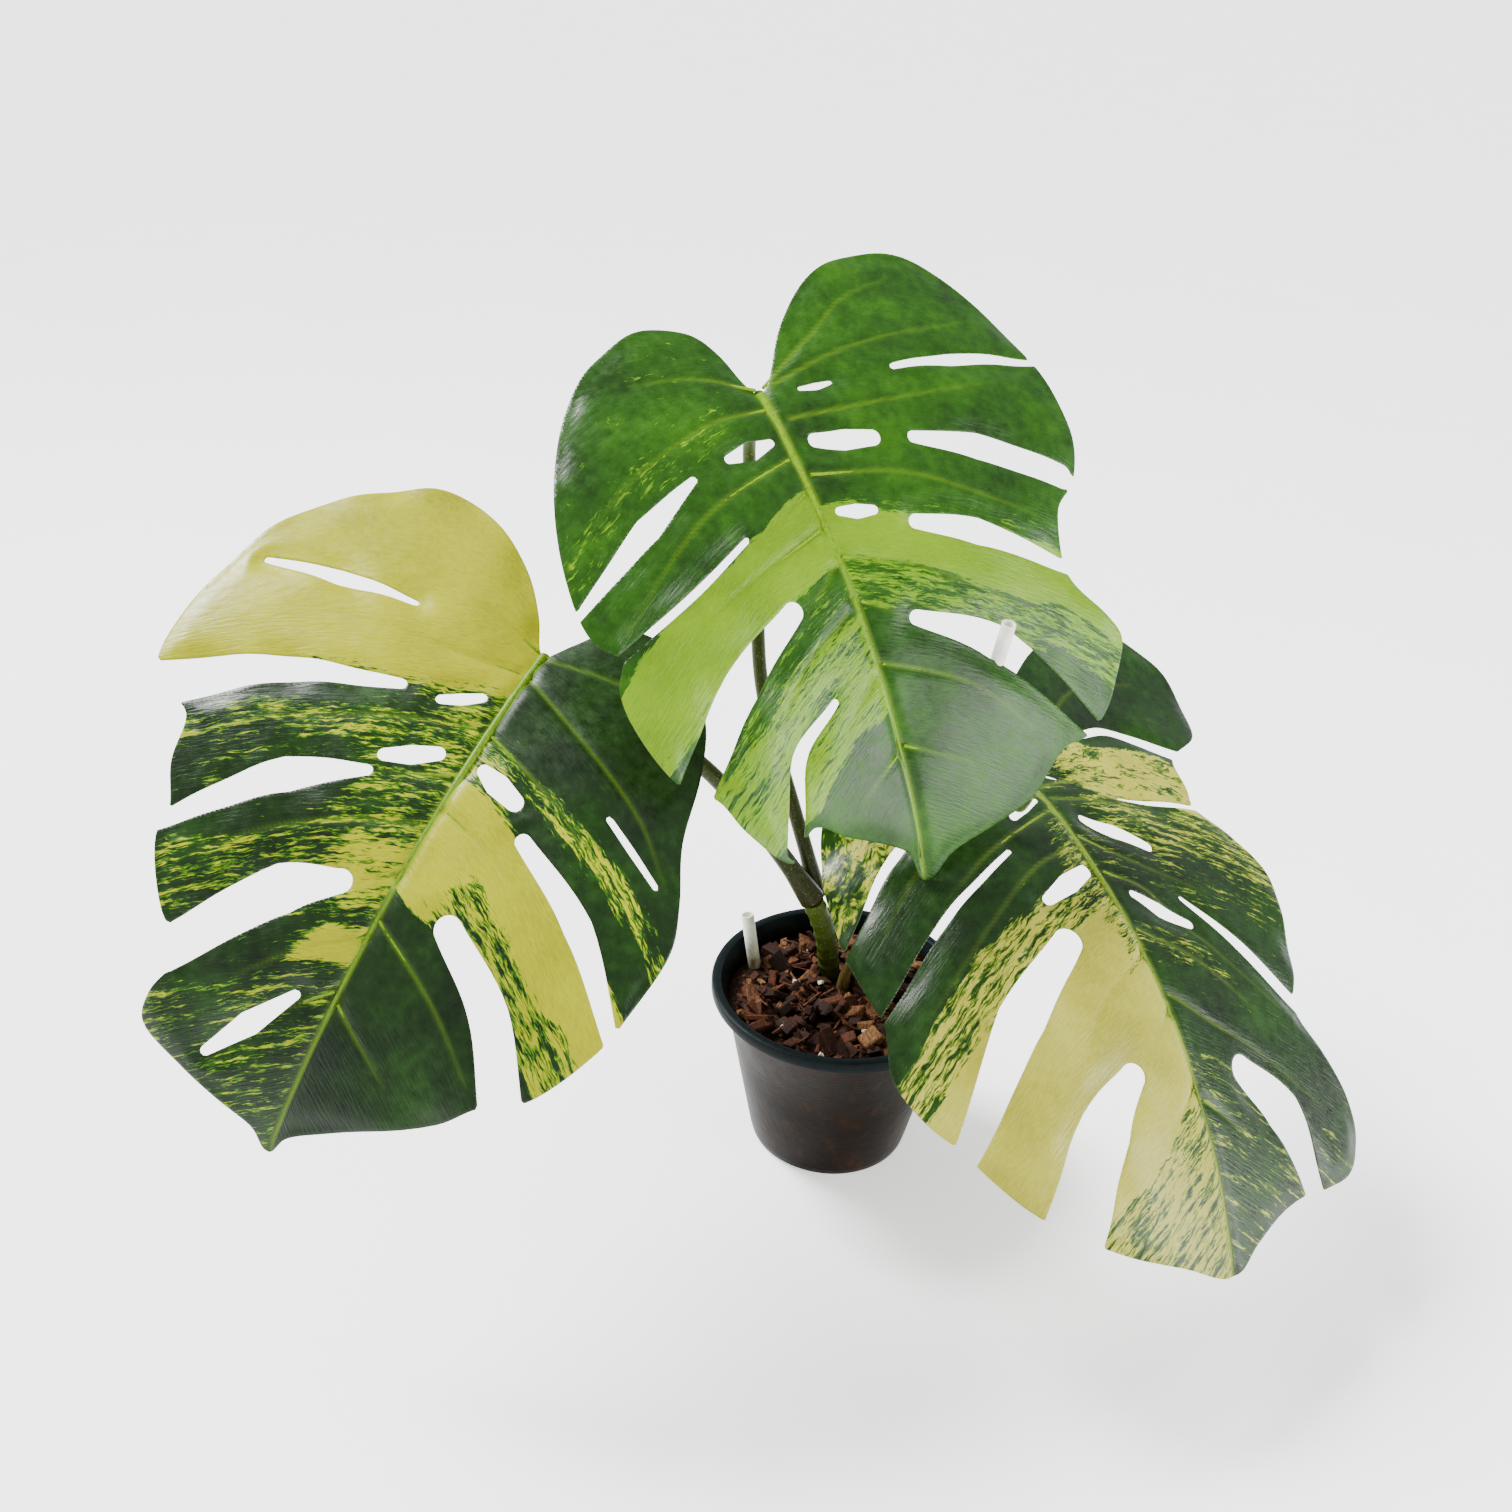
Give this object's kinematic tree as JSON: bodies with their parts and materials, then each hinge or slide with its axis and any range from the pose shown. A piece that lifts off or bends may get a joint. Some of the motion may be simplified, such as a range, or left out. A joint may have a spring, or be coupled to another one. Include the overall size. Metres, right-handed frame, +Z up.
{
  "type": "potted monstera plant",
  "caption": "Split-leaf climbing houseplant with variegated blades on arching petioles, rooted in bark mix in a round tapered nursery pot.",
  "frame": {"origin": "centre of the flat underside of the pot, on the surface the pot stands on", "axes": "+Z up along the pot's axis; -Y towards the side the leaves lean over; +X to the right as seen from that side"},
  "size_m": [0.6338, 0.3814, 0.4955],
  "materials": {
    "pot_plastic": "thin injection-moulded black-brown nursery plastic, satin",
    "bark_mix": "coarse dark coconut husk and bark, dry on top",
    "husk": "fibrous red-brown and tan husk chips",
    "stem_green": "smooth olive-green stem and petiole skin, satin",
    "stake_plastic": "white extruded tube, slightly translucent",
    "leaf_left_blade": "leathery waxed leaf, dark green with golden yellow sectors",
    "leaf_top_blade": "leathery waxed leaf, mid green with lime sectors",
    "leaf_right_blade": "leathery waxed leaf, deep green with cream sectors"
  },
  "bodies": {
    "root": {"pot": "pot_plastic", "potting_mix": "bark_mix", "husk_chip_01": "husk", "husk_chip_02": "husk", "husk_chip_03": "husk", "husk_chip_04": "husk", "husk_chip_05": "husk", "husk_chip_06": "husk", "husk_chip_07": "husk", "husk_chip_08": "husk", "husk_chip_09": "husk", "husk_chip_10": "husk", "husk_chip_11": "husk", "husk_chip_12": "husk", "husk_chip_13": "husk", "husk_chip_14": "husk", "main_stem": "stem_green", "base_sheath": "stem_green", "petiole_left": "stem_green", "petiole_top": "stem_green", "petiole_right": "stem_green", "stake_left": "stake_plastic", "stake_right": "stake_plastic", "leaf_left": "leaf_left_blade", "leaf_top": "leaf_top_blade", "leaf_right": "leaf_right_blade"}
  },
  "joints": []
}
